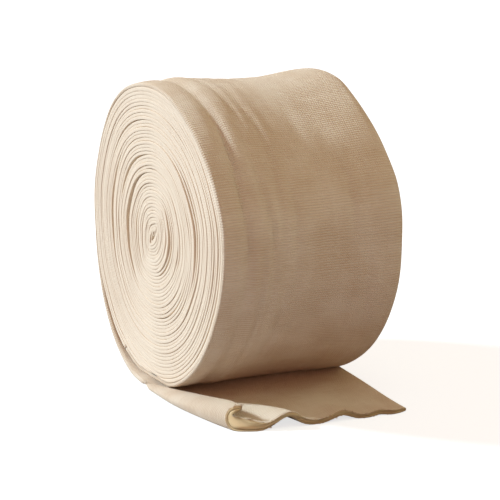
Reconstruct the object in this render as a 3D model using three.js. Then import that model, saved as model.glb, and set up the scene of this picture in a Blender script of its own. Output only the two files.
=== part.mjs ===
// A roll of cotton stockinette: one length of soft knitted tube, pressed flat and wound on itself
// without a core. The outer turn leaves the roll at the back, passes under it and lies forward to a
// cut edge. Millimetres. +X is the way the loose end runs, +Y is along the roll's axis and +Z is up.
// The origin is on the resting surface, under the roll's axis and at the middle of its width.

import * as THREE from "three";

// Driving sizes
const rollWidth = 101;
const rollRadius = 78.5;
const clothThickness = 2.6;
const gap = 0.3;
const flatSpot = 0.3;

// How finely the faceted cloth is cut
const stepsPerSide = 3;
const stepsPerSection = 3;
const stripsAcross = 17;
const stripCrowding = 1.4;
const wavySteps = 7;

// Heights worked out from the sizes: the roll stands on the loose end, which lies on the surface.
const rollBottom = clothThickness + gap;
const axisHeight = rollBottom + rollRadius - flatSpot;

// The outline of the wound tube, seen from its near end: how far the outermost cloth stands from the
// axis, round from under the step where the loose end leaves, past the front and the top, to above
// the step.
const rollSides = [
  { angle: -169, radius: 74.1 },
  { angle: -152, radius: 76.2 },
  { angle: -131, radius: 77.5 },
  { angle: -110, radius: 78.2 },
  { angle: -90, radius: 78.5 },
  { angle: -70, radius: 78.2 },
  { angle: -52, radius: 76.8 },
  { angle: -34, radius: 76.4 },
  { angle: -14, radius: 78.4 },
  { angle: 6, radius: 80.2 },
  { angle: 24, radius: 80.0 },
  { angle: 44, radius: 78.2 },
  { angle: 66, radius: 77.8 },
  { angle: 90, radius: 79.0 },
  { angle: 112, radius: 79.6 },
  { angle: 136, radius: 78.6 },
  { angle: 162, radius: 78.0 },
  { angle: 190, radius: 77.7 },
];

// The curved side across its width: how far it lies below the outline. The near edge is crisp, two soft
// creases run round the near third, a low crown lies past the middle, and the far shoulder is round.
const rollCrossings = [
  { across: -50.5, drop: 2.2 },
  { across: -49.4, drop: 0.6 },
  { across: -46.5, drop: 0 },
  { across: -37, drop: 1.0 },
  { across: -28, drop: 0.2 },
  { across: -19, drop: 1.3 },
  { across: -3, drop: 0.5 },
  { across: 20, drop: -0.5 },
  { across: 36, drop: 0.2 },
  { across: 45, drop: 1.8 },
  { across: 49, drop: 4.4 },
  { across: 50.5, drop: 7.5 },
];

// Rings on both wound ends, from the rim inward. Reach is the share of the outline's radius. A sunk
// ring is a gap between turns: it is deepest halfway between its two angles and closes towards them.
const endRings = [
  { reach: 0.96, sink: 1.2, from: -70, to: 70 },
  { reach: 0.92, sink: 0, from: 0, to: 0 },
  { reach: 0.73, sink: 0, from: 0, to: 0 },
  { reach: 0.695, sink: 3.2, from: -28, to: 72 },
  { reach: 0.66, sink: 0, from: 0, to: 0 },
  { reach: 0.62, sink: 2.6, from: 92, to: 236 },
  { reach: 0.58, sink: 0, from: 0, to: 0 },
  { reach: 0.44, sink: 0, from: 0, to: 0 },
  { reach: 0.4, sink: 2.6, from: 100, to: 252 },
  { reach: 0.36, sink: 0, from: 0, to: 0 },
  { reach: 0.32, sink: 0, from: 0, to: 0 },
  { reach: 0.285, sink: 2.8, from: -78, to: 84 },
  { reach: 0.25, sink: 0, from: 0, to: 0 },
  { reach: 0.12, sink: 0, from: 0, to: 0 },
];
const coreReach = 0.06;
const coreSink = 1.6;
const evenlySpacedWithin = 0.4;
const unevennessFading = 4;

// The loose end from the step down to the cut: the middle of its thickness, and its two folded edges.
const looseSections = [
  { x: -74.9, z: axisHeight - 15.6, near: -50.4, far: 50.4 },
  { x: -71.2, z: axisHeight - 34.4, near: -50.6, far: 50.6 },
  { x: -62.4, z: axisHeight - 52.4, near: -51.2, far: 51.0 },
  { x: -50.6, z: axisHeight - 65.8, near: -52.0, far: 51.6 },
  { x: -37.4, z: axisHeight - 74.4, near: -52.8, far: 52.2 },
  { x: -22, z: clothThickness / 2, near: -53.6, far: 52.8 },
  { x: -2, z: clothThickness / 2, near: -55.6, far: 53.2 },
  { x: 22, z: clothThickness / 2, near: -56.6, far: 52.6 },
  { x: 50, z: clothThickness / 2, near: -53.6, far: 49.4 },
];

// The last stretch lies in waves that grow from the last section to the cut. Each row is a place
// across the width at the cut: how far the cloth reaches forward there, how high it lifts, and how
// far its two layers puff apart.
const cutPlaces = [
  { across: -49, reach: 80, lift: 0.4, puff: 0.2 },
  { across: -47, reach: 81, lift: 0, puff: 5.6 },
  { across: -43.5, reach: 83, lift: 0, puff: 8.4 },
  { across: -39.5, reach: 87, lift: 0.2, puff: 7.2 },
  { across: -33, reach: 91.5, lift: 1.6, puff: 2.2 },
  { across: -22, reach: 94, lift: 5.4, puff: 0 },
  { across: -8, reach: 95, lift: 0, puff: 0 },
  { across: 8, reach: 96, lift: 2.8, puff: 0 },
  { across: 19, reach: 97.4, lift: 0, puff: 0 },
  { across: 29, reach: 97.6, lift: 1.8, puff: 0 },
  { across: 43.5, reach: 97, lift: 0.2, puff: 0 },
];

const cottonColour = "#e9d6b8";

// The value of one column at a place between the rows of a table, on a smooth curve through them.
function between(rows, column, place) {
  const last = rows.length - 1;
  const row = Math.min(Math.floor(place), last - 1);
  const share = place - row;
  const value = (index) => rows[THREE.MathUtils.clamp(index, 0, last)][column];
  const start = value(row);
  const end = value(row + 1);
  const leaving = (end - value(row - 1)) / 2;
  const arriving = (value(row + 2) - start) / 2;
  const bend = 3 * (end - start) - 2 * leaving - arriving;
  const turn = leaving + arriving - 2 * (end - start);
  return start + share * (leaving + share * (bend + share * turn));
}

// The place in a table at which a column, rising from row to row, has a value.
function placeOf(rows, column, value) {
  const next = rows.findIndex((row, index) => index > 0 && row[column] >= value);
  const row = next < 0 ? rows.length - 2 : next - 1;
  const share = (value - rows[row][column]) / (rows[row + 1][column] - rows[row][column]);
  return row + THREE.MathUtils.clamp(share, 0, 1);
}

// Places from the first row of a table to its last, a number of steps to each row.
function placesAlong(rows, steps) {
  const count = (rows.length - 1) * steps;
  return Array.from({ length: count + 1 }, (unused, index) => index / steps);
}

// Closes a ring of points with quads between its two halves. A ring that starts the solid faces back.
function capFaces(start, count, facesBack) {
  const faces = [];
  for (let near = 0; near < count / 2 - 1; near += 1) {
    const far = count - 1 - near;
    const quad = [[near, near + 1, far], [near + 1, far - 1, far]];
    for (const [a, b, c] of quad) {
      const ordered = facesBack ? [a, b, c] : [a, c, b];
      faces.push(...ordered.map((index) => start + index));
    }
  }
  return faces;
}

// A closed solid through rings of equally many points, with its first and last rings capped.
function solidThroughRings(rings) {
  const count = rings[0].length;
  const positions = rings.flat().flatMap((point) => [point.x, point.y, point.z]);
  const faces = capFaces(0, count, true);
  for (let ring = 0; ring < rings.length - 1; ring += 1) {
    for (let index = 0; index < count; index += 1) {
      const here = ring * count + index;
      const beside = ring * count + ((index + 1) % count);
      faces.push(here, beside + count, beside, here, here + count, beside + count);
    }
  }
  faces.push(...capFaces((rings.length - 1) * count, count, false));
  const geometry = new THREE.BufferGeometry();
  geometry.setAttribute("position", new THREE.Float32BufferAttribute(positions, 3));
  geometry.setIndex(faces);
  return geometry;
}

// How far open a gap between two turns is at an angle: 1 halfway between its ends and 0 outside them.
function openShare(angle, from, to) {
  const around = THREE.MathUtils.euclideanModulo(angle - from, 360);
  if (to <= from || around >= to - from) return 0;
  return Math.sin((Math.PI * around) / (to - from)) ** 0.5;
}

// A point of the roll at an angle, pressed flat where it meets the cloth that it stands on.
function rollPoint(angle, radius, across) {
  const turn = THREE.MathUtils.degToRad(angle);
  const height = axisHeight + radius * Math.sin(turn);
  return new THREE.Vector3(radius * Math.cos(turn), across, Math.max(height, rollBottom));
}

// A ring of the roll, round its axis: a share of the outline, taken in by a drop. On the curved side
// the share is whole. On an end the outline's step and unevenness die away inward, and near the core
// its points are evenly spaced.
function rollRing(reach, drop, acrossAt) {
  const places = placesAlong(rollSides, stepsPerSide);
  const outlineSpacing = Math.min(reach / evenlySpacedWithin, 1);
  return places.map((place, index) => {
    const evenAngle = rollSides[0].angle + (360 * index) / places.length;
    const angle = THREE.MathUtils.lerp(evenAngle, between(rollSides, "angle", place), outlineSpacing);
    const uneven = reach ** unevennessFading;
    const outline = THREE.MathUtils.lerp(rollRadius, between(rollSides, "radius", place), uneven);
    return rollPoint(angle, reach * (outline - drop), acrossAt(angle));
  });
}

// The rings of one wound end, from the rim inward. Side is -1 for the near end and 1 for the far one.
function endRingsOf(side) {
  const face = (side * rollWidth) / 2;
  const rim = rollCrossings.find(({ across }) => across === face);
  const rings = endRings.map(({ reach, sink, from, to }) =>
    rollRing(reach, rim.drop, (angle) => face - side * sink * openShare(angle, from, to)));
  const core = rollRing(coreReach, rim.drop, () => face - side * coreSink);
  return [...rings, core];
}

function woundRoll() {
  const sideRings = rollCrossings.map(({ across, drop }) => rollRing(1, drop, () => across));
  return solidThroughRings([...endRingsOf(-1).reverse(), ...sideRings, ...endRingsOf(1)]);
}

// One crossing of the loose end: its upper face from the near edge to the far one, and its lower face
// back. The strips are narrowest at the near edge, which curls the most.
function crossing(upperPoint, lowerPoint) {
  const evenShares = Array.from({ length: stripsAcross + 1 }, (unused, index) => index / stripsAcross);
  const shares = evenShares.map((share) => share ** stripCrowding);
  const upper = shares.map((share) => upperPoint(share));
  const lower = shares.map((share) => lowerPoint(share));
  return [...upper, ...lower.reverse()];
}

// The stretch that hangs down the back of the roll and lies under it.
function hangingCrossing(place) {
  const column = (name, at = place) => between(looseSections, name, at);
  const nudge = 0.01;
  const ahead = Math.min(place + nudge, looseSections.length - 1);
  const behind = Math.max(place - nudge, 0);
  const way = new THREE.Vector2(column("x", ahead) - column("x", behind),
    column("z", ahead) - column("z", behind)).normalize();
  const half = clothThickness / 2;
  const middle = Math.max(column("z"), half);
  const faceAt = (side) => (share) => {
    const across = THREE.MathUtils.lerp(column("near"), column("far"), share);
    const height = Math.max(middle + side * half * way.x, side < 0 ? 0 : clothThickness);
    return new THREE.Vector3(column("x") - side * half * way.y, across, height);
  };
  return crossing(faceAt(1), faceAt(-1));
}

// The stretch in waves. Share is 0 at the last section and 1 at the cut.
function wavyCrossing(along) {
  const last = looseSections[looseSections.length - 1];
  const growth = along * along * (3 - 2 * along);
  const nearCut = cutPlaces[0].across;
  const farCut = cutPlaces[cutPlaces.length - 1].across;
  const faceAt = (isUpper) => (share) => {
    const place = placeOf(cutPlaces, "across", THREE.MathUtils.lerp(nearCut, farCut, share));
    const column = (name) => between(cutPlaces, name, place);
    const start = THREE.MathUtils.lerp(last.near, last.far, share);
    const across = THREE.MathUtils.lerp(start, column("across"), along);
    const x = THREE.MathUtils.lerp(last.x, column("reach"), along);
    const lift = growth * Math.max(column("lift"), 0);
    const puff = growth * Math.max(column("puff"), 0);
    return new THREE.Vector3(x, across, isUpper ? lift + puff + clothThickness : lift);
  };
  return crossing(faceAt(true), faceAt(false));
}

function looseEnd() {
  const hanging = placesAlong(looseSections, stepsPerSection).map(hangingCrossing);
  const stepEnds = Array.from({ length: wavySteps }, (unused, index) => (index + 1) / wavySteps);
  const wavy = stepEnds.map(wavyCrossing);
  return solidThroughRings([...hanging, ...wavy]);
}

function knittedPiece(name, geometry) {
  const cotton = new THREE.MeshStandardMaterial({ color: cottonColour, roughness: 0.95 });
  const piece = new THREE.Mesh(geometry, cotton);
  piece.name = name;
  return piece;
}

const stockinetteRoll = new THREE.Group();
stockinetteRoll.add(knittedPiece("wound_roll", woundRoll()));
stockinetteRoll.add(knittedPiece("loose_end", looseEnd()));

export default stockinetteRoll;
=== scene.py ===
"""A roll of cotton stockinette: soft knitted tube, pressed flat and wound on itself, with a loose end.

Shapes are worked out in millimetres and degrees, in the frame's own axes: the loose end runs towards
+X, the roll's axis lies along Y with its near end at -Y, and +Z is up. An angle of 0 on the roll faces
+X and 90 is its top. A turn of 0 is where the loose end leaves the roll, at LEAVING_ANGLE, and turns
count inward from there.
"""

import math

import bpy
import numpy as np
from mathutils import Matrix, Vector


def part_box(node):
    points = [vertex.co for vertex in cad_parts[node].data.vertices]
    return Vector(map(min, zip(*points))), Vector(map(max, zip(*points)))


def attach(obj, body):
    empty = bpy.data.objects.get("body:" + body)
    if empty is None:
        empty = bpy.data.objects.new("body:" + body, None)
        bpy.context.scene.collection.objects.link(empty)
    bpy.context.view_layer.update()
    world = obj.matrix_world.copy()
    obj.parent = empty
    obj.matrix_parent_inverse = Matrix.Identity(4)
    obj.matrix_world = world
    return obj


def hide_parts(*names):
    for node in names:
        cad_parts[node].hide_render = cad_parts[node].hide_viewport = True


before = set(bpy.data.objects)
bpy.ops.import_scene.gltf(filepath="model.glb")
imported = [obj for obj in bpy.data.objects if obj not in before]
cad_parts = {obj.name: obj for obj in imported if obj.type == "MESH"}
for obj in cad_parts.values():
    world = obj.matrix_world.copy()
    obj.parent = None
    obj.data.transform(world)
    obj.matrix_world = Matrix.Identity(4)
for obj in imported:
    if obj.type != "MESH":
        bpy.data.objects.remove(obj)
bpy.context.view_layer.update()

MM = 0.001
TINY = 1e-6

# The wound roll
TUBE_WIDTH = 101.0
ROLL_RADIUS = 78.5
FLAT_SPOT = 0.3
ROLL_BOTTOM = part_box("wound_roll")[0].z / MM
AXIS_HEIGHT = ROLL_BOTTOM + ROLL_RADIUS - FLAT_SPOT
LEAVING_ANGLE = 190.0
HIDDEN_START_ANGLE = -118.0
TURNS = 42.5
OUTER_SLACK = 0.95
OUTER_SLACK_TURNS = 1.7
GAP_TAPER = 1.5

# The slit at its core: where it lies from the axis, its half length and half width, and its lean
CORE_ACROSS = -3.2
CORE_HEIGHT = -0.9
CORE_LONG = 4.4
CORE_SHORT = 1.3
CORE_LEAN = 57.0
CORE_PULL = 1.5

# The turns inside the roll, from the seam with the outermost turn to the core
TURN_STEP = 2.4
TURN_STEP_ANGLE = 8.0
SMALLEST_RADIUS = 1.0
TURN_FILL = 0.985
TURN_THICKEST = 2.3
TURN_CLEARANCE = 0.2
WAIST_DEPTH = 2.0
SEAM_GAP = 0.15
SEAM_RUN = 0.06

# The folded edge of each turn. Its wanders in and out are pairs, how far and over what share of a turn,
# and names that end in TURNS are such shares too.
EDGE_POINTS = 7
EDGE_INSET = 0.35
EDGE_WANDERS = ((0.24, 0.31), (0.12, 0.083))
EDGE_SWELL = 0.05
EDGE_SWELL_TURNS = 0.05
EDGE_DEPTH = 0.3
EDGE_UNEVENNESS = 0.6
EDGE_UNEVENNESS_TURNS = 0.17
EDGE_FLATNESS = 0.4
EDGE_ROUNDNESS = 0.85
NEAR_EDGE_SEED = 11
FAR_EDGE_SEED = 23

# Slow waves over a whole end face of the roll: how deep, how wide across and up, and where they start
FACE_WAVE_DEPTH = 0.35
FACE_WAVE_SIZES = (17.0, 21.0)
FACE_WAVE_STARTS = (1.1, -0.4)

# The cloth of the outermost turn and the loose end
WOUND_THICKNESS = 2.3
LOOSE_THICKNESS = 2.6
THICKENING_RUN = 30.0
PRESSED_SHARE = 0.8
FOLD_DEPTH = 1.0
FOLD_POINTS = 5
FOLD_BACK_STRIPS = 2
STRIPS_ACROSS = 64
EVEN_STRIPS_SHARE = 0.45
ROLL_SECTION_ANGLE = 1.35
LOOSE_SECTION_LENGTH = 2.0
PATH_NUDGE = 0.05
FINE_STEPS = 40

# The turned-up lip and the waves of the loose end
WAVY_SECTIONS = 56
WAVES_START = 0.5
LIP_RUN_IN = 16.0
LIP_SHARE = 0.16
LIP_DRAWN_SHARE = 0.012
LIP_DRAWING_RUN = 22.0
LIP_LAYER = 0.45
LIP_THICKENING_SHARE = 0.2
FLOOR_TOUCH = 0.05

# The mouth at the cut, between the tube's two walls
MOUTH_START = 0.45
MOUTH_SECTIONS = 14
MOUTH_FOLD_SHARE = 0.1
LOWER_WALL = 1.5
CLOSED_GAP = 0.05
OPEN_GAP = 0.6
OPEN_ACROSS = -42.0
OPEN_WIDTH = 6.5
OPEN_BELOW = 1.0
RIM_ROUNDING = 0.35

# Where the relief of the curved side fades out: below an angle, and towards the cloth's edges
RELIEF_ENDS = -84.0
RELIEF_FADING = 26.0
EDGE_FADING = 4.0

# How a crease tapers, and the low ridge beside it, as shares of the crease's own depth and width
CREASE_TAPER = 0.6
CREASE_RIDGE_HEIGHT = 0.35
CREASE_RIDGE_AWAY = 1.7
CREASE_RIDGE_WIDTH = 1.3

# Faint ridges and dimples, each placed by chance. Pairs are the least and the most.
RELIEF_SEED = 5
RELIEF_ACROSS = (-48, 46)
RELIEF_ANGLES = (-120, 190)
RIDGES = 46
RIDGE_DRIFT = 5
RIDGE_DRIFT_ANGLE = 60
RIDGE_REACHES = (24, 70)
RIDGE_WIDTHS = (1.2, 3.4)
RIDGE_HEIGHT = 0.2
DIMPLES = 60
DIMPLE_WIDTHS = (5, 14)
DIMPLE_ANGLES = (3, 9)
DIMPLE_DEPTH = 0.16

# The frayed yarn at the cut: loops, and loose ends. Sweeps are how many half circles each makes outward
# and upward, and YARN_ASKEW is a way in which no yarn runs.
FRAYED_SEED = 31
FRAYED_UNTIL = 36.0
FRAYED_YARNS = 140
YARN_THICKNESSES = (0.18, 0.3)
YARN_POINTS = 7
YARN_SIDES = 6
YARN_ASKEW = (0.3, 0.2, 1.0)
YARN_LIFT = 0.1
YARN_ROOT = 0.5
YARN_REACHES = (0.5, 1.5)
YARN_RISES = (-0.14, 0.49)
YARN_LEAN = 0.5
YARN_BEND = 0.3
LIP_TOP = 8.5
LIP_TOP_RISE = 1.26
LOOP_SHARE = 0.55
LOOP_WIDTHS = (0.7, 1.5)
LOOP_SWEEPS = (1.0, 1.0)
LOOSE_END_SWEEPS = (0.5, 0.6)

# The knit: the spacing of its loops, how they slant and rise, and how their hollows show in patches as
# painted shade in the yarn's colour. A level is what a value starts from, and a swing is how strongly the
# pattern moves it.
COURSE_SPACING = 1.37
WALE_SPACING = 1.05
LOOP_SLANT = 0.34
LOOP_LEVEL = 0.62
LOOP_SWING = 0.38
ARM_LEVEL = 0.45
ARM_SWING = 2.2
HOLLOW_BELOW = 0.62
HOLLOW_STEEPNESS = 2.0
PATCH_LEVEL = -0.95
PATCH_SWING = 3.2
PATCH_FAINTEST = 0.25
PATCH_SCALE = 42.0
YARN_WANDER_SCALE = 160.0

# The yarn's colours and finish. Scales are in patches to the metre, along the cloth and round it.
LIGHT_YARN = (0.85, 0.72, 0.56, 1)
# The dark yarn is both the yarn's darker mottling and the painted shade in the knit's hollows.
DARK_YARN_AND_SHADE = (0.6, 0.42, 0.26, 1)
# The raw cut's ochre is partly the cut yarn's own deeper colour and partly a painted warm glow of light
# passing through the thin cloth.
CUT_YARN_AND_GLOW = (0.8, 0.6, 0.33, 1)
CLOUD_SCALE = 38.0
SLUB_SCALES = (740.0, 46.0, 1.0)
RIB_SCALES = (14.0, 260.0, 1.0)
FIBRE_SCALE = 2600.0
CLOUD_SHARE = 0.4
SLUB_SHARE = 0.5
RIB_SHARE = 0.35
DARK_LEVEL = 0.25
ROUGH_LEVEL = 0.84
ROUGH_SWING = 0.12
FIBRE_DEPTH = 0.05
GLOSS = 0.2
FUZZ = 0.12
FUZZ_ROUGHNESS = 0.6
CUT_MARGIN = 0.1
NEVER_CUT = 99.0

# The floor
FLOOR_SIZE = 16.0
FLOOR_GREY = (0.45, 0.45, 0.45, 1)
FLOOR_ROUGHNESS = 0.8
FLOOR_GLOW = 0.72
WHITE = (1, 1, 1, 1)

# The camera, and what it looks at
CAMERA_AIM = (4.96, 2.57, 68.3)
CAMERA_AZIMUTH = 62.58
CAMERA_ELEVATION = 14.0
CAMERA_DISTANCE = 1256.0
CAMERA_LENS = 172.04
CAMERA_SIGHT = 30.0

# The lights. Each soft light has a name, a place and a size in metres, its power and its colour.
KEY_AZIMUTH = -42.0
KEY_ELEVATION = 29.0
KEY_SPREAD = 8.0
KEY_STRENGTH = 4.84
KEY_COLOR = (0.678, 0.861, 1.0)
SOFT_LIGHTS = (
    ("overhead light", (0.7, 0.15, 2.2), 1.4, 7.8, (0.56, 1.0, 0.92)),
    ("side light", (0.7, 1.6, 1.3), 1.0, 5.0, (0.7, 1.0, 0.51)),
)
ROOM_COLOR = (1.0, 0.6, 0.465, 1)
ROOM_STRENGTH = 0.51

# The sockets of a Mix node that hold colours, by number, because others have the same names
MIX_START = 6
MIX_END = 7
MIX_RESULT = 2


def table(columns, *rows):
    """A small table: the names of its columns in one string, then its rows."""
    return {name: np.array(values, float) for name, values in zip(columns.split(), zip(*rows))}


# The outermost cloth at the roll's near rim and far rim. The radius is what it would be without the
# step at which the loose end leaves, so it comes back to its start after a full turn.
NEAR_OUTLINE = table(
    "angle radius",
    (-170, 77.8), (-155, 80.0), (-148, 80.7), (-140, 81.6), (-131, 83.1), (-124, 83.4), (-110, 83.2),
    (-91, 82.4), (-76, 81.2), (-56, 78.9), (-41, 77.7), (-26, 77.8), (-12, 79.4), (4, 81.6), (14, 82.4),
    (28, 80.8), (44, 79.3), (60, 78.6), (78, 79.0), (94, 79.6), (106, 80.2), (118, 81.1), (130, 81.0),
    (142, 79.4), (157, 77.9), (172, 78.1),
)
FAR_OUTLINE = table(
    "angle radius",
    (-170, 78.8), (-140, 80.0), (-110, 82.2), (-84, 83.8), (-64, 83.2), (-46, 83.0), (-28, 83.3),
    (-12, 84.3), (2, 84.5), (14, 86.0), (24, 85.5), (34, 82.6), (44, 80.6), (56, 79.0), (66, 79.0),
    (78, 80.4), (92, 80.6), (106, 80.4), (124, 79.6), (145, 78.8), (168, 78.2),
)

# How far the outer cloth lies below a straight line from rim to rim, across the roll's width.
CROSSING = table(
    "across drop",
    (-50.5, 0.5), (-47.5, 0.0), (-42, -0.2), (-37, 0.7), (-31, -0.7), (-22, 0.3), (-12, 1.4),
    (0, 2.4), (11, 2.9), (20, 2.75), (28, 2.1), (36, 1.3), (43, 0.9), (47, 1.1), (49.5, 2.0), (50.5, 2.8),
)

# Soft creases in the curved side: how deep each one is, how wide, and its route round the roll from one
# angle to another.
CREASES = (
    (1.30, 1.3, table("angle across", (92, -35.9), (72, -35.4), (57, -35.2), (46, -36.1), (24, -37.6),
                      (2, -35.8), (-12, -35.2))),
    (0.75, 1.7, table("angle across", (102, -24.9), (90, -24.4), (78, -23.4), (66, -22.8), (50, -23.5))),
    (0.80, 1.8, table("angle across", (94, -15.3), (85, -15.5), (70, -17.2), (53, -15.3), (30, -16.6),
                      (8, -17.2), (-20, -17.0))),
    (1.10, 1.5, table("angle across", (60, -27.0), (44, -25.9), (30, -26.1), (19, -25.0), (12, -23.1),
                      (0, -22.0), (-24, -22.6))),
    (1.10, 1.6, table("angle across", (14, -28.3), (6, -28.3), (-14, -28.5), (-30, -28.1), (-52, -29.4))),
    (0.90, 1.7, table("angle across", (4, -14.0), (-22, -14.5), (-40, -16.6), (-56, -18.0))),
    (0.70, 1.8, table("angle across", (44, -7.5), (20, -9.0), (0, -9.6), (-26, -8.0))),
    (0.70, 1.5, table("angle across", (34, 23.7), (20, 23.3), (6, 22.8))),
    (0.60, 2.2, table("angle across", (2, 30.6), (-16, 32.2), (-40, 35.2))),
    (0.35, 2.6, table("angle across", (-30, -37.5), (-50, -36.2), (-70, -37.0), (-88, -38.0))),
    (0.40, 3.0, table("angle across", (70, 8.0), (50, 6.4), (30, 7.0), (12, 4.8))),
    (0.70, 2.2, table("angle across", (178, -22.0), (150, -24.5), (128, -23.0), (106, -25.0))),
    (0.60, 2.4, table("angle across", (186, 14.0), (160, 11.5), (136, 13.5), (112, 10.0))),
    (0.55, 2.6, table("angle across", (180, 33.0), (158, 34.5), (134, 32.0), (116, 33.5))),
)

# Gaps between turns at each end of the roll: the angle at their middle, the angle that they span, how
# far they lie from the axis, how wide they are, and how far the turn inside them is sunk.
NEAR_GAPS = table(
    "angle span radius width sink",
    (3, 170, 23.6, 2.5, 0.6), (182, 120, 21.5, 1.1, 0.3), (176, 160, 32.0, 2.0, 0.6),
    (135, 78, 44.5, 1.5, 0.4), (175, 100, 53.0, 1.4, 0.3), (22, 120, 54.0, 3.2, 0.8),
    (19, 42, 49.0, 1.2, 0.4), (-12, 34, 29.6, 0.9, 0.3), (-52, 80, 42.0, 0.8, 0.2),
    (-5, 160, 76.0, 1.2, 0.3), (12, 140, 73.6, 0.9, 0.5), (-24, 150, 71.0, 0.6, 0.2),
    (122, 64, 62.0, 0.6, 0.1), (-118, 60, 50.0, 0.3, 0.1), (60, 56, 66.0, 0.5, 0.1),
    (88, 46, 36.0, 0.4, 0.1), (-150, 60, 40.0, 0.5, 0.1),
)
FAR_GAPS = table(
    "angle span radius width sink",
    (150, 140, 27.0, 1.9, 0.5), (-20, 120, 35.0, 1.6, 0.4), (80, 90, 47.0, 1.3, 0.3),
    (-110, 110, 55.0, 1.6, 0.5), (15, 70, 62.0, 0.9, 0.2), (170, 90, 68.0, 0.7, 0.2),
    (60, 120, 74.0, 0.9, 0.3), (-60, 90, 22.0, 0.7, 0.2),
)

# The loose end, from the roll down its back to where its near edge begins to turn up: the middle of its
# thickness, as it lies from the roll's axis, and its two folded edges.
LOOSE_PATH = table(
    "x below near far",
    (-76.2, 3.0, -50.5, 50.5), (-75.3, 13.4, -50.5, 50.5), (-71.4, 33.6, -50.6, 50.5),
    (-62.6, 52.0, -51.2, 50.5), (-50.8, 65.6, -52.0, 50.4), (-37.4, 74.6, -52.8, 50.3),
    (-22, 79.4, -54.2, 50.0), (-8, 79.8, -55.8, 49.4),
)

# The near edge turned up: where it bulges most, where its crest lies and how high, and where the far edge
# lies beside it.
LIP = table(
    "x bulge crest height far",
    (-8, -56.8, -54.6, 2.7, 49.4), (6, -57.5, -54.4, 3.1, 48.6), (18, -57.9, -51.6, 4.0, 47.6),
    (34, -57.9, -48.7, 5.9, 46.2), (50, -56.3, -45.9, 7.9, 44.8), (60, -54.8, -44.1, 9.2, 43.9),
    (70, -52.9, -42.5, 10.5, 43.3), (80, -50.4, -42.3, 10.9, 43.0),
)

# The cut end: its upper face and its lower face, from the tip of the curled near edge to the far edge.
CUT_ABOVE = table(
    "across height forward",
    (-42.2, 8.3, 81.2), (-44.2, 8.0, 82.0), (-46.2, 7.3, 82.3), (-47.2, 6.6, 82.5),
    (-45.6, 6.2, 83.8), (-41.6, 5.6, 87.0), (-37.6, 4.8, 90.0), (-32.4, 3.9, 92.4), (-28.7, 5.4, 93.0),
    (-25.1, 7.3, 93.6), (-21.5, 8.3, 94.2), (-18.2, 7.6, 94.6), (-14.5, 4.8, 95.2), (-9.3, 2.6, 95.4),
    (-4.2, 2.6, 95.8), (1.5, 3.9, 96.0), (7.0, 5.6, 96.4), (11.6, 4.3, 96.6), (15.4, 2.7, 97.2),
    (21.2, 2.3, 98.4), (28.0, 3.0, 97.4), (34.7, 2.3, 99.4), (39.5, 2.2, 98.8), (42.8, 1.9, 97.7),
)
CUT_BELOW = table(
    "across height forward",
    (-42.3, 10.9, 81.0), (-45.2, 10.5, 80.0), (-47.8, 9.2, 79.2), (-49.5, 7.2, 79.0),
    (-50.4, 5.0, 79.5), (-50.5, 2.5, 81.5), (-49.9, 0.6, 84.5), (-47.5, 0.0, 87.6), (-43.9, 0.0, 89.7),
    (-38.4, 0.0, 92.0), (-33.2, 0.5, 92.0), (-28.6, 2.9, 92.6), (-24.4, 5.5, 93.0), (-20.4, 5.4, 94.0),
    (-15.0, 1.6, 95.0), (-9.3, 0.0, 95.2), (-3.6, 0.0, 95.6), (1.9, 1.3, 95.8), (7.3, 2.7, 96.2),
    (12.0, 1.3, 96.4), (15.7, 0.1, 97.0), (21.5, 0.0, 98.2), (28.2, 0.3, 97.2), (34.7, 0.0, 99.2),
    (39.6, 0.0, 98.7), (43.0, 0.1, 97.6),
)


# Curves through tables

def through(knots, values, at):
    """A smooth curve through values at rising knots, read at any places between them."""
    slopes = np.gradient(values, knots, axis=0)
    row = np.clip(np.searchsorted(knots, at) - 1, 0, len(knots) - 2)
    width = knots[row + 1] - knots[row]
    share = (at - knots[row]) / width
    extra = values.ndim - 1
    share = share.reshape(share.shape + (1,) * extra)
    width = width.reshape(width.shape + (1,) * extra)
    start, end = values[row], values[row + 1]
    leaving, arriving = slopes[row] * width, slopes[row + 1] * width
    bend = 3 * (end - start) - 2 * leaving - arriving
    turn = leaving + arriving - 2 * (end - start)
    return start + share * (leaving + share * (bend + share * turn))


def round_outline(outline, angle):
    """The radius of a rim's outline at any angle: its table repeats with every full turn."""
    knots = np.concatenate([outline["angle"] + shift for shift in (-360, 0, 360)])
    radii = np.tile(outline["radius"], 3)
    wrapped = (np.asarray(angle, float) + 180) % 360 - 180
    return through(knots, radii, wrapped)


def distances(points):
    """The distance along a line of points to each of them."""
    return np.concatenate([[0], np.cumsum(np.linalg.norm(np.diff(points, axis=0), axis=1))])


def points_at(points, shares):
    """The places at shares of the way along a smooth curve through the given points."""
    knots = distances(points)
    fine = through(knots, points, np.linspace(0, knots[-1], FINE_STEPS * len(points)))
    lengths = distances(fine)
    return np.stack([np.interp(shares * lengths[-1], lengths, values) for values in fine.T], axis=1)


def hump(away):
    """A soft hump: 1 at its middle, and hardly anything beyond twice its width."""
    return np.exp(-away ** 2)


def eased(share):
    share = np.clip(share, 0, 1)
    return share * share * (3 - 2 * share)


def slow_noise(seed, places, spacing):
    """Seeded smooth values between about -1 and 1, changing over the given spacing of places."""
    places = np.asarray(places, float) / spacing
    first = math.floor(places.min()) - 2
    knots = np.arange(first, math.ceil(places.max()) + 3, dtype=float)
    values = np.random.default_rng(seed).uniform(-1, 1, len(knots))
    return through(knots, values, places)


# The winding

def turns_deep(turn):
    """How many pitches a turn lies inside the outline. The outer turns are looser than the rest."""
    return turn + OUTER_SLACK * (1 - np.exp(-turn / OUTER_SLACK_TURNS))


def core_radius(angle):
    """How far the slit at the core reaches at an angle. It is a narrow leaning oval."""
    lean = np.radians(angle - CORE_LEAN)
    return CORE_LONG * CORE_SHORT / np.hypot(CORE_SHORT * np.cos(lean), CORE_LONG * np.sin(lean))


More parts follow.
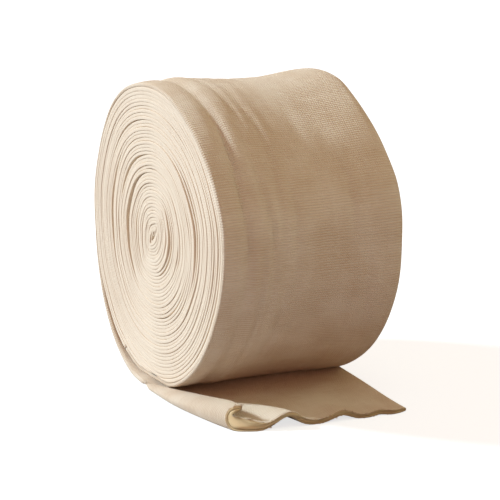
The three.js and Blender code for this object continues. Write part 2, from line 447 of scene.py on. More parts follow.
def gap_rows(gaps, outline):
    """Each gap with the seam where it is closed, and how often the tube passes that seam outside it."""
    whole_turns = np.arange(TURNS)
    for angle, span, radius, width, sink in zip(*gaps.values()):
        seam = (angle + 180 - LEAVING_ANGLE) % 360 + LEAVING_ANGLE - 360
        pitches = (round_outline(outline, angle) - radius) / (ROLL_RADIUS / turns_deep(TURNS))
        deep = np.interp(pitches, turns_deep(whole_turns), whole_turns)
        passes = max(1, round(float(deep - ((LEAVING_ANGLE - angle) % 360) / 360)))
        yield angle, span, seam, passes, width, sink


def gap_opening(angle, middle, span):
    """How far open a gap is at an angle: 1 at its middle and 0 beyond its ends."""
    away = np.abs((angle - middle + 180) % 360 - 180)
    return np.cos(np.clip(away / span, 0, 0.5) * math.pi) ** GAP_TAPER


def winding(turn, outline, gaps):
    """The tube's outer face at one end of the roll: its radius, the pitch there and how far it is sunk.

    The turns share what the gaps leave of the radius, and each gap moves the turns inside it inward.
    """
    angle = LEAVING_ANGLE - 360 * turn
    taken = np.zeros_like(turn)
    total = np.zeros_like(turn)
    sunk = np.zeros_like(turn)
    for middle, span, seam, passes, width, sink in gap_rows(gaps, outline):
        opening = gap_opening(angle, middle, span)
        passed = np.floor((seam - angle) / 360)
        total += opening * width
        taken += opening * width * (passed >= passes)
        sunk += opening * sink * (passed == passes)
    rim = round_outline(outline, angle)
    pitch = (rim - core_radius(angle) - total) / turns_deep(TURNS)
    radius = rim - pitch * turns_deep(turn) - taken
    spacing = pitch * (turns_deep(turn + 0.5) - turns_deep(turn - 0.5))
    return radius, spacing, sunk


def core_shift(radius):
    """The turns near the core lie a little to one side of the axis."""
    pull = np.clip(1 - radius / ROLL_RADIUS, 0, 1) ** CORE_PULL
    return CORE_ACROSS * pull, CORE_HEIGHT * pull


def roll_points(angle, radius, across):
    """Points of the roll, at an angle and a radius from its axis and a place across its width."""
    shift_x, shift_z = core_shift(radius)
    turn = np.radians(angle)
    x = radius * np.cos(turn) + shift_x
    z = AXIS_HEIGHT + radius * np.sin(turn) + shift_z
    return np.stack(np.broadcast_arrays(x, across, z), axis=-1)


# Meshes

def add_object(name, data):
    made = bpy.data.objects.new(name, data)
    bpy.context.collection.objects.link(made)
    return made


def add_mesh(name, corners, faces):
    """A smooth mesh, from corners in millimetres."""
    mesh = bpy.data.meshes.new(name)
    mesh.from_pydata((corners * MM).tolist(), [], faces)
    mesh.shade_smooth()
    return add_object(name, mesh)


def distances_around(rings):
    """The distance round each ring to each of its points, and to the first one again."""
    closed = np.concatenate([rings, rings[:, :1]], axis=1)
    steps = np.linalg.norm(np.diff(closed, axis=1), axis=2)
    return np.concatenate([np.zeros((len(rings), 1)), np.cumsum(steps, axis=1)], axis=1)


def add_ring_mesh(name, rings):
    """A closed mesh through rings of equally many points, with flat ends.

    Its map of the cloth gives the distance along the tube and round it, in metres.
    """
    count, points = rings.shape[:2]
    along, around = distances(rings.mean(axis=1)), distances_around(rings)
    ring, spot = np.meshgrid(np.arange(count - 1), np.arange(points), indexing="ij")
    ring, spot = ring.ravel(), spot.ravel()
    beside = (spot + 1) % points
    corners = [ring * points + spot, (ring + 1) * points + spot]
    corners += [(ring + 1) * points + beside, ring * points + beside]
    sides = np.stack(corners, axis=1)
    uv_along = np.stack([along[ring], along[ring + 1], along[ring + 1], along[ring]], axis=1)
    uv_around = np.stack([around[ring, spot], around[ring + 1, spot],
                          around[ring + 1, spot + 1], around[ring, spot + 1]], axis=1)
    near = np.arange(points // 2 - 1)
    far = points - 1 - near
    start_cap = np.stack([near, near + 1, far - 1, far], axis=1)
    end_cap = start_cap[:, ::-1] + (count - 1) * points
    faces = np.concatenate([sides, start_cap, end_cap])
    caps = faces[len(sides):].ravel()
    uv = np.concatenate([
        np.stack([uv_along, uv_around], axis=-1).reshape(-1, 2),
        np.stack([along[caps // points], around[caps // points, caps % points]], axis=-1),
    ])
    made = add_mesh(name, rings.reshape(-1, 3), faces.tolist())
    layer = made.data.uv_layers.new(name="cloth")
    layer.uv.foreach_set("vector", (uv * MM).astype(np.float32).ravel())
    for cap in made.data.polygons[len(sides):]:
        cap.use_smooth = False
    return made


# The wound turns

def turn_places():
    """Where the wound turns are cut into sections, from the outermost inward.

    They lie an even step apart along the cloth, and near the core an even angle apart.
    """
    turn = (LEAVING_ANGLE - HIDDEN_START_ANGLE) / 360 + SEAM_GAP / (2 * math.pi * ROLL_RADIUS)
    places = [turn]
    pitch = ROLL_RADIUS / TURNS
    while turn < TURNS:
        radius = max(ROLL_RADIUS - pitch * turn, SMALLEST_RADIUS)
        step = min(math.degrees(TURN_STEP / radius), TURN_STEP_ANGLE)
        turn += step / 360
        places.append(turn)
    return np.array(places)


def face_wave(angle, radius):
    """How far the slow waves of an end face of the roll lie in from its flat."""
    (width, height), (start_x, start_z) = FACE_WAVE_SIZES, FACE_WAVE_STARTS
    x, z = radius * np.cos(np.radians(angle)), radius * np.sin(np.radians(angle))
    return FACE_WAVE_DEPTH * np.sin(x / width + start_x) * np.cos(z / height + start_z)


def turn_edge(turn, side, outline, gaps, seed):
    """The tube's folded edge at one end of the roll, as rounded points from outer wall to inner wall.

    It starts at the seam with the fold of the outermost turn, and settles into its own from there.
    """
    angle = LEAVING_ANGLE - 360 * turn
    radius, spacing, sunk = winding(turn, outline, gaps)
    thickness = np.minimum(spacing * TURN_FILL, TURN_THICKEST)
    settled = eased((turn - turn[0]) / SEAM_RUN)
    inset = EDGE_INSET + face_wave(angle, radius) + sunk
    for step, (reach, turns) in enumerate(EDGE_WANDERS):
        inset += reach * slow_noise(seed + step, turn, turns)
    inset *= settled
    swell = 1 + EDGE_SWELL * slow_noise(seed + 2, turn, EDGE_SWELL_TURNS) * settled
    depth = EDGE_DEPTH * (1 + EDGE_UNEVENNESS * slow_noise(seed + 3, turn, EDGE_UNEVENNESS_TURNS))
    depth = FOLD_DEPTH + (depth - FOLD_DEPTH) * settled
    points = []
    for lean in np.radians(np.linspace(90, -90, EDGE_POINTS)):
        out = math.copysign(abs(math.sin(lean)) ** EDGE_ROUNDNESS, lean)
        back = 1 - abs(math.cos(lean)) ** EDGE_FLATNESS
        here = radius - thickness / 2 + out * thickness * swell / 2
        across = side * (TUBE_WIDTH / 2 - inset - depth * back)
        points.append(roll_points(angle, here, across))
    return np.stack(points, axis=1)


def waist(near, far, wall):
    """One wall of the tube halfway across, where the whole roll is a little thinner than at its rims."""
    middle = (near[:, wall] + far[:, wall]) / 2
    axis = np.array([0, 0, AXIS_HEIGHT])
    return (axis + (middle - axis) * (1 - WAIST_DEPTH / ROLL_RADIUS))[:, None]


def add_wound_turns():
    turn = turn_places()
    near = turn_edge(turn, -1, NEAR_OUTLINE, NEAR_GAPS, NEAR_EDGE_SEED)
    far = turn_edge(turn, 1, FAR_OUTLINE, FAR_GAPS, FAR_EDGE_SEED)
    rings = np.concatenate([near, waist(near, far, -1), far[:, ::-1], waist(near, far, 0)], axis=1)
    lowest = ROLL_BOTTOM + WOUND_THICKNESS + TURN_CLEARANCE
    rings[..., 2] = np.maximum(rings[..., 2], lowest)
    return add_ring_mesh("wound_turns", rings)


# The outer cloth

def crease_relief(angle, across):
    """How far the creases press the cloth in, with a low ridge beside each one."""
    relief = np.zeros(np.broadcast(angle, across).shape)
    for depth, width, route in CREASES:
        start, end = route["angle"][0], route["angle"][-1]
        share = np.clip((start - angle) / (start - end), 0, 1)
        middle = through(-route["angle"], route["across"], -np.clip(angle, end, start))
        away = (across - middle) / width
        strength = depth * np.sin(math.pi * share) ** CREASE_TAPER
        ridge = CREASE_RIDGE_HEIGHT * hump((away - CREASE_RIDGE_AWAY) / CREASE_RIDGE_WIDTH)
        relief -= strength * (hump(away) - ridge)
    return relief


def soft_ridges(angle, across):
    """Faint uneven ridges that run round the roll, and the slight waviness of hand-wound cloth."""
    rng = np.random.default_rng(RELIEF_SEED)
    relief = np.zeros(np.broadcast(angle, across).shape)
    for _ in range(RIDGES):
        middle, centre = rng.uniform(*RELIEF_ACROSS), rng.uniform(*RELIEF_ANGLES)
        drift, reach = rng.uniform(-RIDGE_DRIFT, RIDGE_DRIFT), rng.uniform(*RIDGE_REACHES)
        width, height = rng.uniform(*RIDGE_WIDTHS), rng.uniform(-RIDGE_HEIGHT, RIDGE_HEIGHT)
        away = (across - middle - drift * (angle - centre) / RIDGE_DRIFT_ANGLE) / width
        relief += height * hump(away) * hump((angle - centre) / reach)
    for _ in range(DIMPLES):
        middle, centre = rng.uniform(*RELIEF_ACROSS), rng.uniform(*RELIEF_ANGLES)
        wide, tall = rng.uniform(*DIMPLE_WIDTHS), rng.uniform(*DIMPLE_ANGLES)
        height = rng.uniform(-DIMPLE_DEPTH, DIMPLE_DEPTH)
        relief += height * hump((across - middle) / wide) * hump((angle - centre) / tall)
    return relief


def outer_faces(angle, across):
    """The outer and inner face of the outermost turn: the radius at angles and places across."""
    turn = (LEAVING_ANGLE - angle) / 360
    near = winding(turn, NEAR_OUTLINE, NEAR_GAPS)[0]
    far = winding(turn, FAR_OUTLINE, FAR_GAPS)[0]
    share = eased((across + TUBE_WIDTH / 2) / TUBE_WIDTH)
    upward = eased((angle - RELIEF_ENDS) / RELIEF_FADING)
    drop = through(CROSSING["across"], CROSSING["drop"], across) * upward
    smooth = near + (far - near) * share - drop
    fading = np.clip((TUBE_WIDTH / 2 - np.abs(across)) / EDGE_FADING, 0, 1) * upward
    relief = (crease_relief(angle, across) + soft_ridges(angle, across)) * fading
    return smooth + relief, smooth - WOUND_THICKNESS


def across_shares():
    """Places across the cloth, closer together towards its two folded edges."""
    even = np.linspace(0, 1, STRIPS_ACROSS)
    return EVEN_STRIPS_SHARE * even + (1 - EVEN_STRIPS_SHARE) * (1 - np.cos(math.pi * even)) / 2


def drawn_shares():
    """The same places, with those that will turn up in the lip drawn together at the near edge."""
    return np.interp(across_shares(), (0, LIP_SHARE, 1), (0, LIP_DRAWN_SHARE, 1))


def wound_sections():
    """The outermost turn: its outer and inner faces, from the hidden start to where it leaves the roll."""
    count = round((LEAVING_ANGLE - HIDDEN_START_ANGLE) / ROLL_SECTION_ANGLE)
    angle = np.linspace(HIDDEN_START_ANGLE, LEAVING_ANGLE, count + 1)[:, None]
    edge = TUBE_WIDTH / 2 - FOLD_DEPTH
    across = edge * (2 * across_shares() - 1)[None, :]
    outer, inner = outer_faces(angle, across)
    outside = roll_points(angle, outer, across)
    inside = roll_points(angle, inner, across)
    outside[..., 2] = np.maximum(outside[..., 2], ROLL_BOTTOM)
    inside[..., 2] = np.maximum(inside[..., 2], ROLL_BOTTOM + PRESSED_SHARE * WOUND_THICKNESS)
    return outside, inside


def loose_sections():
    """The loose end from where it leaves the roll to where its near edge begins to turn up."""
    path = np.stack([LOOSE_PATH["x"], AXIS_HEIGHT - LOOSE_PATH["below"],
                     LOOSE_PATH["near"], LOOSE_PATH["far"]], axis=1)
    knots = distances(path[:, :2])
    start, end = knots[1], knots[-1]
    count = round((end - start) / LOOSE_SECTION_LENGTH)
    at = np.linspace(start, end, count + 1)[1:]
    here = through(knots, path, at)
    way = through(knots, path[:, :2], at + PATH_NUDGE) - through(knots, path[:, :2], at - PATH_NUDGE)
    way /= np.linalg.norm(way, axis=1, keepdims=True)
    thickening = eased((at - start) / THICKENING_RUN)
    thickness = WOUND_THICKNESS + (LOOSE_THICKNESS - WOUND_THICKNESS) * thickening
    height = np.maximum(here[:, 1], thickness / 2)
    near = here[:, 2] + FOLD_DEPTH
    far = here[:, 3] - FOLD_DEPTH
    drawing = eased((at - end) / LIP_DRAWING_RUN + 1)[:, None]
    shares = across_shares() + (drawn_shares() - across_shares()) * drawing
    across = near[:, None] + (far - near)[:, None] * shares
    faces = []
    for side in (1, -1):
        x = here[:, 0] + side * way[:, 1] * thickness / 2
        z = height - side * way[:, 0] * thickness / 2
        faces.append(np.stack(np.broadcast_arrays(x[:, None], across, z[:, None]), axis=-1))
    return faces


def turned_up_line(cut, share):
    """The lower face of the cloth at shares of the way to the cut, and how thick the cloth is there.

    The near edge turns up more and more on the way, and then the rest begins to wave.
    """
    start = LIP["x"][0]
    bulge_at = np.argmin(cut[:, 1])
    floor_at = bulge_at + np.argmax(cut[bulge_at:, 2] < FLOOR_TOUCH)
    lip_x = start + (cut[bulge_at, 0] - start) * share
    bulge, crest, height, far = (
        through(LIP["x"], LIP[name], lip_x)[:, None] for name in ("bulge", "crest", "height", "far"))
    from_bulge = cut[:, 1] - cut[bulge_at, 1]
    above = from_bulge * (crest - bulge) / from_bulge[0]
    below = from_bulge * (far - bulge) / from_bulge[-1]
    points = np.arange(len(cut))
    across = bulge + np.where(points <= bulge_at, above, below)
    waves = eased((share - WAVES_START) / (1 - WAVES_START))[:, None]
    lift = cut[:, 2] * np.where(points < floor_at, height / cut[0, 2], waves)
    forward = start + (cut[:, 0] - start) * share[:, None]
    layer = np.minimum(LOOSE_THICKNESS, LIP_LAYER * height)
    past_lip = eased((points - floor_at) / (LIP_THICKENING_SHARE * len(cut)))
    return np.stack([forward, across, lift], axis=-1), layer + (LOOSE_THICKNESS - layer) * past_lip


def raised_by(line, thickness):
    """A line across the cloth moved off it, to the side that is up where the cloth lies flat."""
    way = np.gradient(line[..., 1:], axis=-2)
    way /= np.linalg.norm(way, axis=-1, keepdims=True)
    raised = line.copy()
    raised[..., 1] -= way[..., 1] * thickness
    raised[..., 2] += way[..., 0] * thickness
    return raised


def cut_line(cut):
    """One face of the cut end, as points at the same shares across as the rest of the cloth."""
    return points_at(np.stack([cut["forward"], cut["across"], cut["height"]], axis=1), across_shares())


def wavy_sections(last_outside, last_inside):
    """The last stretch: its near edge turns up, its cut lies in waves, and its mouth is a little open."""
    below, above = cut_line(CUT_BELOW), cut_line(CUT_ABOVE)
    share = (np.arange(WAVY_SECTIONS) + 1) / WAVY_SECTIONS
    outside, thickness = turned_up_line(below, share)
    inside = raised_by(outside, thickness)
    mouth = eased((share - MOUTH_START) / (1 - MOUTH_START))[:, None, None]
    inside += (above - inside[-1]) * mouth
    started = eased(share * (below[0, 0] - LIP["x"][0]) / LIP_RUN_IN)[:, None, None]
    faces = []
    for last, face in ((last_outside, outside), (last_inside, inside)):
        plain = np.broadcast_to(last, face.shape).copy()
        plain[..., 0] = face[..., 0]
        joined = plain + (face - plain) * started
        joined[..., 2] = np.maximum(joined[..., 2], 0)
        faces.append(joined)
    return faces


def fold_points(outside, inside, edge, back):
    """The rounded fold at one edge of every section, from its outer face to its inner one.

    Edge and back tell the edge's own point across the cloth, and one a little way in from it.
    """
    out, into = outside[:, edge], inside[:, edge]
    middle, half = (out + into) / 2, (out - into) / 2
    way = middle - (outside[:, back] + inside[:, back]) / 2
    way /= np.maximum(np.linalg.norm(way, axis=1, keepdims=True), TINY)
    leans = np.linspace(0, math.pi, FOLD_POINTS + 2)[1:-1]
    points = [middle + half * math.cos(lean) + way * FOLD_DEPTH * math.sin(lean) for lean in leans]
    return np.stack(points, axis=1)


def cloth_rings(outside, inside):
    """Whole rings: the outer face from near to far, the far fold, the inner face back and the near fold."""
    far_fold = fold_points(outside, inside, -1, -1 - FOLD_BACK_STRIPS)
    near_fold = fold_points(outside, inside, 0, FOLD_BACK_STRIPS)[:, ::-1]
    return np.concatenate([outside, far_fold, inside[:, ::-1], near_fold], axis=1)


def mouth_rings(outside, inside):
    """The inside of the open cut end: a narrow gap between the tube's two walls, closed at its edges."""
    through_cloth = inside - outside
    reach = np.linalg.norm(through_cloth, axis=2, keepdims=True)
    opening = hump((outside[..., 1:2] - OPEN_ACROSS) / OPEN_WIDTH) * (outside[..., 2:3] < OPEN_BELOW)
    gap = CLOSED_GAP + OPEN_GAP * opening
    lower = np.minimum(LOWER_WALL, reach / 2 - gap / 2)
    below, above = (outside + through_cloth * (lower + extra) / reach for extra in (0, gap))
    hollow = cloth_rings(below, above)
    far_fold = slice(STRIPS_ACROSS, STRIPS_ACROSS + FOLD_POINTS)
    near_fold = slice(2 * STRIPS_ACROSS + FOLD_POINTS, None)
    for fold, edge in ((far_fold, -1), (near_fold, 0)):
        centre = (below[:, [edge]] + above[:, [edge]]) / 2
        hollow[:, fold] = centre + (hollow[:, fold] - centre) * MOUTH_FOLD_SHARE
    return hollow


def add_outer_cloth():
    """Adds the outermost turn and the loose end as one piece.

    Gives back the piece, the ring of points at its cut, and its length up to the cut in metres.
    """
    wound_out, wound_in = wound_sections()
    loose_out, loose_in = loose_sections()
    wavy_out, wavy_in = wavy_sections(loose_out[-1], loose_in[-1])
    outside = np.concatenate([wound_out, loose_out, wavy_out])
    inside = np.concatenate([wound_in, loose_in, wavy_in])
    cloth = cloth_rings(outside, inside)
    hollow = mouth_rings(wavy_out[-MOUTH_SECTIONS:], wavy_in[-MOUTH_SECTIONS:])[::-1]
    rim = (cloth[-1] + hollow[0]) / 2 + np.array([RIM_ROUNDING, 0, 0])
    rings = np.concatenate([cloth, rim[None], hollow])
    length = distances(rings.mean(axis=1))[len(cloth) - 1]
    return add_ring_mesh("outer_cloth", rings), cloth[-1], length * MM


# Frayed yarn at the cut

def yarn_tube(route, thickness):
    """The corners and faces of a short length of yarn along a route, with its ends closed."""
    ways = np.gradient(route, axis=0)
    ways /= np.linalg.norm(ways, axis=1, keepdims=True)
    beside = np.cross(ways, YARN_ASKEW)
    beside /= np.maximum(np.linalg.norm(beside, axis=1, keepdims=True), TINY)
    above = np.cross(beside, ways)
    turn = np.linspace(0, 2 * math.pi, YARN_SIDES, endpoint=False)[None, :, None]
    ring = np.cos(turn) * beside[:, None] + np.sin(turn) * above[:, None]
    corners = (route[:, None] + ring * thickness / 2).reshape(-1, 3)
    last = len(corners) - YARN_SIDES
    faces = []
    for start in range(0, last, YARN_SIDES):
        for side in range(YARN_SIDES):
            here, following = start + side, start + (side + 1) % YARN_SIDES
            faces.append((here, following, following + YARN_SIDES, here + YARN_SIDES))
    faces.append(tuple(range(YARN_SIDES))[::-1])
    faces.append(tuple(range(last, last + YARN_SIDES)))
    return corners, faces


def frayed_route(base, rng, upright):
    """A loop or a loose end of yarn that starts inside the cut and stands a little out of it."""
    reach = rng.uniform(*YARN_REACHES)
    lean = rng.normal(0, YARN_LEAN)
    rise = rng.uniform(*YARN_RISES) + LIP_TOP_RISE * upright
    is_loop = rng.random() < LOOP_SHARE
    sideways = rng.uniform(*LOOP_WIDTHS) if is_loop else lean
    out_sweep, up_sweep = LOOP_SWEEPS if is_loop else LOOSE_END_SWEEPS
    share = np.linspace(0, 1, YARN_POINTS)
    forward = np.sin(share * math.pi * out_sweep) * reach - YARN_ROOT
    across = share * sideways + lean * YARN_BEND * share ** 2
    height = np.sin(share * math.pi * up_sweep) * rise
    return base + np.stack([forward, across, height], axis=1)


def add_frayed_edge(cut_ring):
    """Adds fine loose yarn along the cut. Some of it stands up where the lip is highest."""
    rng = np.random.default_rng(FRAYED_SEED)
    corners, faces = [], []
    fraying = np.flatnonzero(cut_ring[:, 1] < FRAYED_UNTIL)
    for index in rng.choice(fraying, FRAYED_YARNS):
        base = cut_ring[index] + np.array([0, 0, YARN_LIFT])
        upright = rng.random() * (base[2] > LIP_TOP)
        route = frayed_route(base, rng, upright)
        yarn_corners, yarn_faces = yarn_tube(route, rng.uniform(*YARN_THICKNESSES))
        yarn_corners[:, 2] = np.maximum(yarn_corners[:, 2], 0)
        start = len(corners)
        corners.extend(yarn_corners)
        faces += [tuple(start + corner for corner in face) for face in yarn_faces]
    return add_mesh("frayed_edge", np.array(corners), faces)


# Building shader nodes

def feed(tree, node, inputs):
    """Gives inputs of a node their values, or links them to other nodes' outputs."""
    for name, value in inputs.items():
        if isinstance(value, bpy.types.NodeSocket):
            tree.links.new(value, node.inputs[name])
        else:
            node.inputs[name].default_value = value


def add_node(tree, kind, inputs=None, **settings):
    made = tree.nodes.new(kind)
    for name, value in settings.items():
        setattr(made, name, value)
    feed(tree, made, inputs or {})
    return made


def add_math(tree, operation, *values):
    return add_node(tree, "ShaderNodeMath", dict(enumerate(values)), operation=operation).outputs[0]


def add_clamp(tree, value, least=0.0, most=1.0):
    return add_node(tree, "ShaderNodeClamp", {"Value": value, "Min": least, "Max": most}).outputs[0]


def add_mix(tree, share, start, end):
    """A colour between two, at a share of the way."""
    inputs = {"Factor": share, MIX_START: start, MIX_END: end}
    return add_node(tree, "ShaderNodeMix", inputs, data_type="RGBA").outputs[MIX_RESULT]


def add_noise(tree, place, scale, detail=2.0):
    """Soft noise between 0 and 1. A scale of three numbers gives each direction its own."""
    if not np.isscalar(scale):
        place = add_node(tree, "ShaderNodeMapping", {"Vector": place, "Scale": scale}).outputs[0]
        scale = 1.0
    inputs = {"Vector": place, "Scale": scale, "Detail": detail}
    return add_node(tree, "ShaderNodeTexNoise", inputs).outputs[0]


def new_group(name, inputs, outputs):
    """An empty shader node group, the sockets that it is given, and the node for what it puts out."""
    group = bpy.data.node_groups.new(name, "ShaderNodeTree")
    for label, kind, value in inputs:
        socket = group.interface.new_socket(label, in_out="INPUT", socket_type=kind)
        if value is not None:
            socket.default_value = value
    for label, kind in outputs:
        group.interface.new_socket(label, in_out="OUTPUT", socket_type=kind)
    return group, group.nodes.new("NodeGroupInput").outputs, group.nodes.new("NodeGroupOutput")


def new_material(name):
    """A new material, with its node tree and its surface shader."""
    material = bpy.data.materials.new(name)
    material.use_nodes = True
    return material, material.node_tree, material.node_tree.nodes["Principled BSDF"]


# The effects that the pieces share

def plain_knit_group():
    """Plain knit: wales of V-shaped loops along the cloth, in courses across it, and a mask of their
    hollows for painted shade, more marked in patches.
    """
    group, given, made = new_group(
        "plain knit",
        [("Place", "NodeSocketVector", None), ("Course spacing", "NodeSocketFloat", COURSE_SPACING * MM),
         ("Wale spacing", "NodeSocketFloat", WALE_SPACING * MM), ("Unevenness", "NodeSocketFloat", 0.3)],
        [("Height", "NodeSocketFloat"), ("Hollow", "NodeSocketFloat")],
    )
    place = add_node(group, "ShaderNodeSeparateXYZ", {"Vector": given["Place"]}).outputs
    drift = add_math(group, "SUBTRACT", add_noise(group, given["Place"], YARN_WANDER_SCALE), 0.5)
    drift = add_math(group, "MULTIPLY", drift, given["Unevenness"])
    course = add_math(group, "ADD", add_math(group, "DIVIDE", place[0], given["Course spacing"]), drift)
    wale = add_math(group, "ADD", add_math(group, "DIVIDE", place[1], given["Wale spacing"]), drift)
    beside = add_math(group, "MULTIPLY", add_math(group, "PINGPONG", wale, 0.5), 2.0)
    slanted = add_math(group, "SUBTRACT", course, add_math(group, "MULTIPLY", beside, LOOP_SLANT))
    wave = add_math(group, "COSINE", add_math(group, "MULTIPLY", slanted, 2 * math.pi))
    loop = add_math(group, "MULTIPLY_ADD", wave, LOOP_SWING, LOOP_LEVEL)
    arm = add_math(group, "MULTIPLY", beside, add_math(group, "SUBTRACT", 1.0, beside))
    arm = add_math(group, "MULTIPLY_ADD", arm, ARM_SWING, ARM_LEVEL)
    height = add_math(group, "MULTIPLY", loop, arm)
    # The hollows between the loops make the mask for painted shade, more marked in patches.
    hollow = add_math(group, "SUBTRACT", HOLLOW_BELOW, height)
    hollow = add_clamp(group, add_math(group, "MULTIPLY", hollow, HOLLOW_STEEPNESS))
    patch = add_noise(group, given["Place"], PATCH_SCALE, detail=3.0)
    strength = add_math(group, "MULTIPLY_ADD", patch, PATCH_SWING, PATCH_LEVEL)
    strength = add_clamp(group, strength, PATCH_FAINTEST)
    feed(group, made, {"Height": height, "Hollow": add_math(group, "MULTIPLY", hollow, strength)})
    return group


def cotton_yarn_group():
    """Unbleached cotton: soft mottling, yarn thick and thin along each course, faint ribs, fine fibres,
    painted shade in the knit's hollows, and an ochre raw cut that is partly its own colour and partly a
    painted warm glow of light through the cloth.
    """
    group, given, made = new_group(
        "cotton yarn",
        [("Place", "NodeSocketVector", None), ("Hollow", "NodeSocketFloat", 0.0),
         ("Light yarn", "NodeSocketColor", LIGHT_YARN), ("Dark yarn and shade", "NodeSocketColor", DARK_YARN_AND_SHADE),
         ("Cut yarn and glow", "NodeSocketColor", CUT_YARN_AND_GLOW), ("Cut", "NodeSocketFloat", 0.0),
         ("Mottling", "NodeSocketFloat", 0.5), ("Painted hollow shade", "NodeSocketFloat", 0.5)],
        [("Color", "NodeSocketColor"), ("Fibre", "NodeSocketFloat"), ("Roughness", "NodeSocketFloat")],
    )
    around = add_node(group, "ShaderNodeTexCoord").outputs["Object"]
    cloud = add_noise(group, around, CLOUD_SCALE, detail=4.0)
    slub = add_noise(group, given["Place"], SLUB_SCALES)
    rib = add_noise(group, given["Place"], RIB_SCALES)
    fibre = add_noise(group, around, FIBRE_SCALE)
    # Each noise is about a half on average, so the tone comes to about 0.
    tone = -(CLOUD_SHARE + SLUB_SHARE + RIB_SHARE) / 2
    for noise, share in ((cloud, CLOUD_SHARE), (slub, SLUB_SHARE), (rib, RIB_SHARE)):
        tone = add_math(group, "MULTIPLY_ADD", noise, share, tone)
    tone = add_math(group, "MULTIPLY_ADD", tone, given["Mottling"], DARK_LEVEL)
    # Painted shade: the knit's hollows pull the colour towards the dark yarn, on top of its mottling.
    depth = add_math(group, "MULTIPLY_ADD", given["Hollow"], given["Painted hollow shade"], tone)
    whole = add_mix(group, add_clamp(group, depth), given["Light yarn"], given["Dark yarn and shade"])
    feed(group, made, {
        # The raw cut, and the inside of the mouth beyond it, take the ochre, partly a painted glow of light
        # through the cloth.
        "Color": add_mix(group, given["Cut"], whole, given["Cut yarn and glow"]),
        "Fibre": fibre,
        "Roughness": add_math(group, "MULTIPLY_ADD", fibre, ROUGH_SWING, ROUGH_LEVEL),
    })
    return group


# The finishes

def cotton_material(name, knit, yarn, unevenness, mottling, painted_hollow_shade, knit_depth, cut_at=NEVER_CUT):
    """Soft cotton knit: the two shared effects, and where along the cloth its raw cut begins."""
    material, tree, surface = new_material(name)
    place = add_node(tree, "ShaderNodeUVMap", uv_map="cloth").outputs[0]
    along = add_node(tree, "ShaderNodeSeparateXYZ", {"Vector": place}).outputs[0]
    inputs = {"Place": place, "Unevenness": unevenness}
    loops = add_node(tree, "ShaderNodeGroup", inputs, node_tree=knit).outputs
    inputs = {
        "Place": place,
        "Hollow": loops["Hollow"],
        "Light yarn": LIGHT_YARN,
        "Dark yarn and shade": DARK_YARN_AND_SHADE,
        "Cut yarn and glow": CUT_YARN_AND_GLOW,
        "Cut": add_math(tree, "GREATER_THAN", along, cut_at + CUT_MARGIN * MM),
        "Mottling": mottling,
        "Painted hollow shade": painted_hollow_shade,
    }
    cotton = add_node(tree, "ShaderNodeGroup", inputs, node_tree=yarn).outputs
    inputs = {"Height": cotton["Fibre"], "Distance": FIBRE_DEPTH * MM}
    fuzz = add_node(tree, "ShaderNodeBump", inputs).outputs[0]
    inputs = {"Height": loops["Height"], "Distance": knit_depth * MM, "Normal": fuzz}
    bump = add_node(tree, "ShaderNodeBump", inputs).outputs[0]
    feed(tree, surface, {
        "Base Color": cotton["Color"],
        "Roughness": cotton["Roughness"],
        "Normal": bump,
        "Specular IOR Level": GLOSS,
        "Sheen Weight": FUZZ,
        "Sheen Roughness": FUZZ_ROUGHNESS,
    })
    return material


def floor_material():
    """A pale floor with a glow that the camera alone sees, so that it doesn't light the roll."""
    material, tree, surface = new_material("pale floor")
    seen = add_node(tree, "ShaderNodeLightPath").outputs["Is Camera Ray"]
    feed(tree, surface, {
        "Base Color": FLOOR_GREY,
        "Roughness": FLOOR_ROUGHNESS,
        "Emission Color": WHITE,
        "Emission Strength": add_math(tree, "MULTIPLY", seen, FLOOR_GLOW),
    })
    return material


# The stage

def add_floor():
    bpy.ops.mesh.primitive_plane_add(size=FLOOR_SIZE)
    floor = bpy.context.object
    floor.name = "floor"
    floor.data.materials.append(floor_material())


def direction(azimuth, elevation):
    """The way from the object to a place round it. Azimuth 0 is in front of -Y and 90 is at +X."""
    azimuth, elevation = math.radians(azimuth), math.radians(elevation)
    level = math.cos(elevation)
    return Vector((math.sin(azimuth) * level, -math.cos(azimuth) * level, math.sin(elevation)))


def looking(way):
    """The rotation of a camera or a light that looks along a way."""
    return way.to_track_quat("-Z", "Y").to_euler()


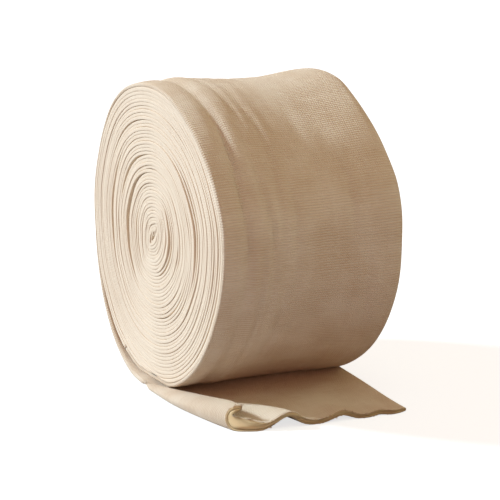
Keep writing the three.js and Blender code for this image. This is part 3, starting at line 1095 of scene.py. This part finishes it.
def add_camera():
    camera = add_object("camera", bpy.data.cameras.new("camera"))
    back = direction(CAMERA_AZIMUTH, CAMERA_ELEVATION)
    camera.location = (Vector(CAMERA_AIM) + back * CAMERA_DISTANCE) * MM
    camera.rotation_euler = looking(-back)
    camera.data.lens = CAMERA_LENS
    camera.data.clip_end = CAMERA_SIGHT
    bpy.context.scene.camera = camera


def add_light(name, kind, way, strength, color):
    light = add_object(name, bpy.data.lights.new(name, kind))
    light.rotation_euler = looking(way)
    light.data.energy = strength
    light.data.color = color
    return light


def add_lights():
    """The key light, like a low hazy sun, and two soft lights aimed at the roll's foot."""
    way = -direction(KEY_AZIMUTH, KEY_ELEVATION)
    key = add_light("key light", "SUN", way, KEY_STRENGTH, KEY_COLOR)
    key.data.angle = math.radians(KEY_SPREAD)
    for name, place, size, strength, color in SOFT_LIGHTS:
        soft = add_light(name, "AREA", -Vector(place), strength, color)
        soft.location = place
        soft.data.size = size


def add_room():
    """Soft light from all round, and colours shown as they are."""
    world = bpy.data.worlds.new("soft room")
    world.use_nodes = True
    room = world.node_tree.nodes["Background"]
    feed(world.node_tree, room, {"Color": ROOM_COLOR, "Strength": ROOM_STRENGTH})
    bpy.context.scene.world = world
    bpy.context.scene.view_settings.view_transform = "Standard"


def finish_piece(piece, material, *nodes):
    """Gives a piece its material, and stands it in the place of the frame's plain cloth."""
    piece.data.materials.append(material)
    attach(piece, "root")
    if nodes:
        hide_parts(*nodes)


def main():
    add_camera()
    add_floor()
    add_lights()
    add_room()
    knit, yarn = plain_knit_group(), cotton_yarn_group()
    outer_cloth, cut_ring, cloth_length = add_outer_cloth()
    # Each finish sets how strongly shade is painted into its knit's hollows.
    turns_finish = cotton_material("folded edges", knit, yarn, unevenness=0.5, mottling=0.5,
                                   painted_hollow_shade=0.25, knit_depth=0.16)
    cloth_finish = cotton_material("outer cloth", knit, yarn, unevenness=0.3, mottling=0.7,
                                   painted_hollow_shade=0.95, knit_depth=0.35, cut_at=cloth_length)
    wound_turns = add_wound_turns()
    finish_piece(wound_turns, turns_finish, "wound_roll")
    finish_piece(outer_cloth, cloth_finish, "loose_end")
    frayed_edge = add_frayed_edge(cut_ring)
    finish_piece(frayed_edge, cloth_finish)


main()
